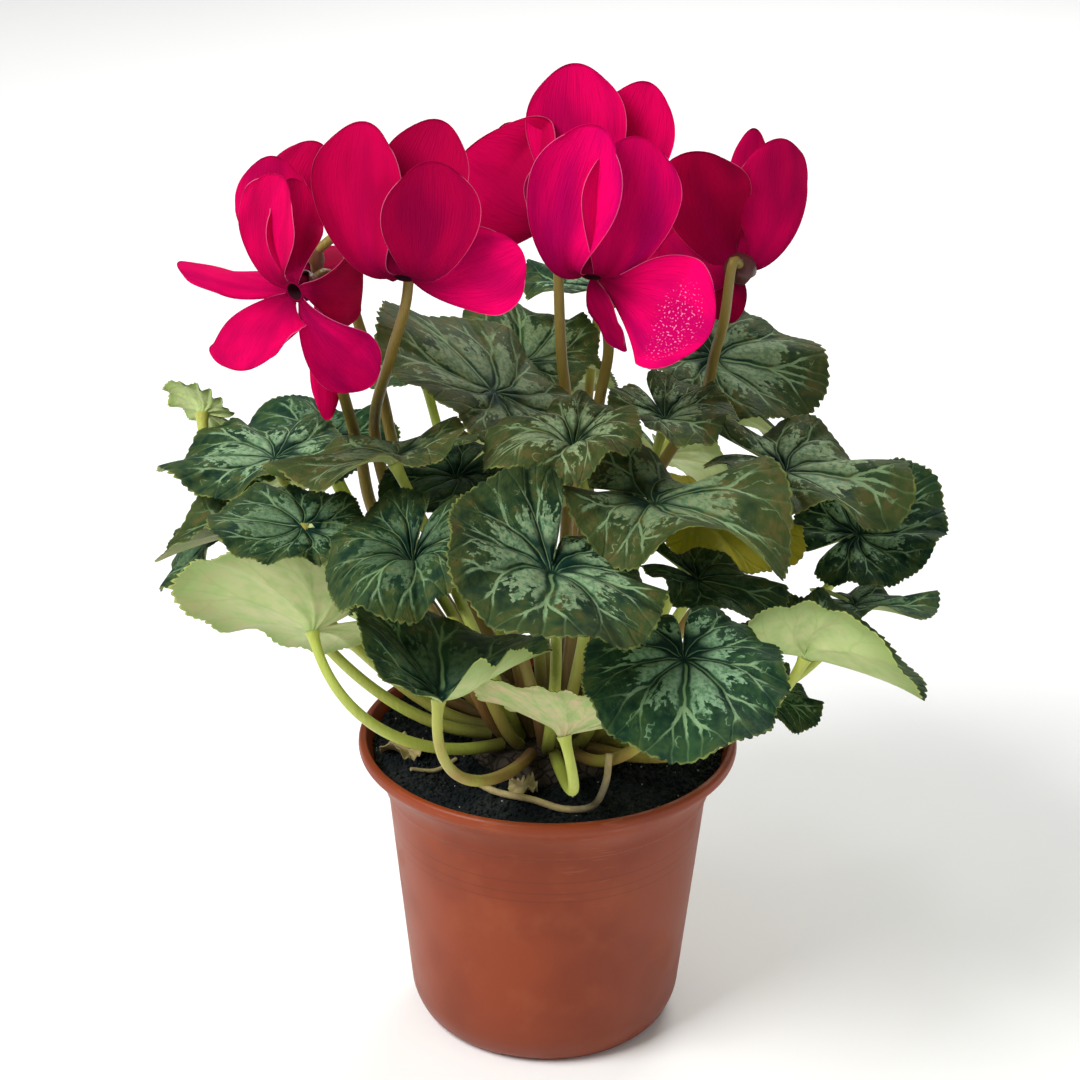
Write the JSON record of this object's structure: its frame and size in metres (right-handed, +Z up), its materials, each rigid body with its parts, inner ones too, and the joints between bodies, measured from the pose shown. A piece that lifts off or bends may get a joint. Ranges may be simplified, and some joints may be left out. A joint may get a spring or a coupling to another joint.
{
  "type": "potted cyclamen",
  "caption": "Potted florist's cyclamen with marbled heart-shaped leaves and nodding crimson flowers in a round flared plastic pot.",
  "frame": {"origin": "centre of the pot's foot, on the surface that the pot stands on", "axes": "+Z up along the pot's axis, -Y towards the viewer of the picture, +X to the right"},
  "size_m": [0.2677, 0.2644, 0.335],
  "materials": {
    "pot_plastic": "semi-matt terracotta-coloured moulded plastic, slightly smudged",
    "soil": "loose dark potting soil with pale specks",
    "tuber": "dull brown corky skin",
    "dry_leaf": "dried, tan to grey-brown, matt",
    "leaf": "dark green with a silver-green marbled pattern and pale veins, satin",
    "stalk": "olive-brown, fleshy, satin",
    "petal": "saturated crimson with fine lengthwise veins, velvety"
  },
  "bodies": {
    "root": {"pot": "pot_plastic", "soil": "soil", "tuber": "tuber", "leaf_front_centre": "leaf", "leaf_front_low_right": "leaf", "leaf_top_curled": "leaf", "leaf_top_bowl": "leaf", "leaf_top_left": "leaf", "leaf_top_back": "leaf", "leaf_back_right": "leaf", "leaf_right_wavy": "leaf", "leaf_far_right": "leaf", "leaf_centre_right": "leaf", "leaf_right_tip_rolled": "leaf", "leaf_right_cupped": "leaf", "leaf_right_small": "leaf", "leaf_low_centre": "leaf", "leaf_low_left": "leaf", "leaf_left_gutter": "leaf", "leaf_left_funnel": "leaf", "leaf_left_flat": "leaf", "leaf_left_wavy": "leaf", "leaf_left_raised": "leaf", "leaf_back_left": "leaf", "leaf_far_left_turned": "leaf", "leaf_left_hanging": "leaf", "leaf_left_edge_on": "leaf", "leaf_left_inner": "leaf", "leaf_inner_right": "leaf", "leaf_yellowing": "leaf", "leaf_rear_1": "leaf", "leaf_rear_2": "leaf", "leaf_rear_3": "leaf", "leaf_rear_4": "leaf", "leaf_rear_5": "leaf", "leaf_rear_6": "leaf", "leaf_rear_7": "leaf", "dry_stem_1": "dry_leaf", "dry_stem_2": "dry_leaf", "dry_leaf_1": "dry_leaf", "dry_leaf_2": "dry_leaf", "flower_left_stalk": "stalk", "flower_left_corolla": "petal", "flower_left_rear_stalk": "stalk", "flower_left_rear_corolla": "petal", "flower_centre_left_stalk": "stalk", "flower_centre_left_corolla": "petal", "flower_centre_rear_stalk": "stalk", "flower_centre_rear_corolla": "petal", "flower_centre_right_stalk": "stalk", "flower_centre_right_corolla": "petal", "flower_right_stalk": "stalk", "flower_right_corolla": "petal"}
  },
  "joints": []
}
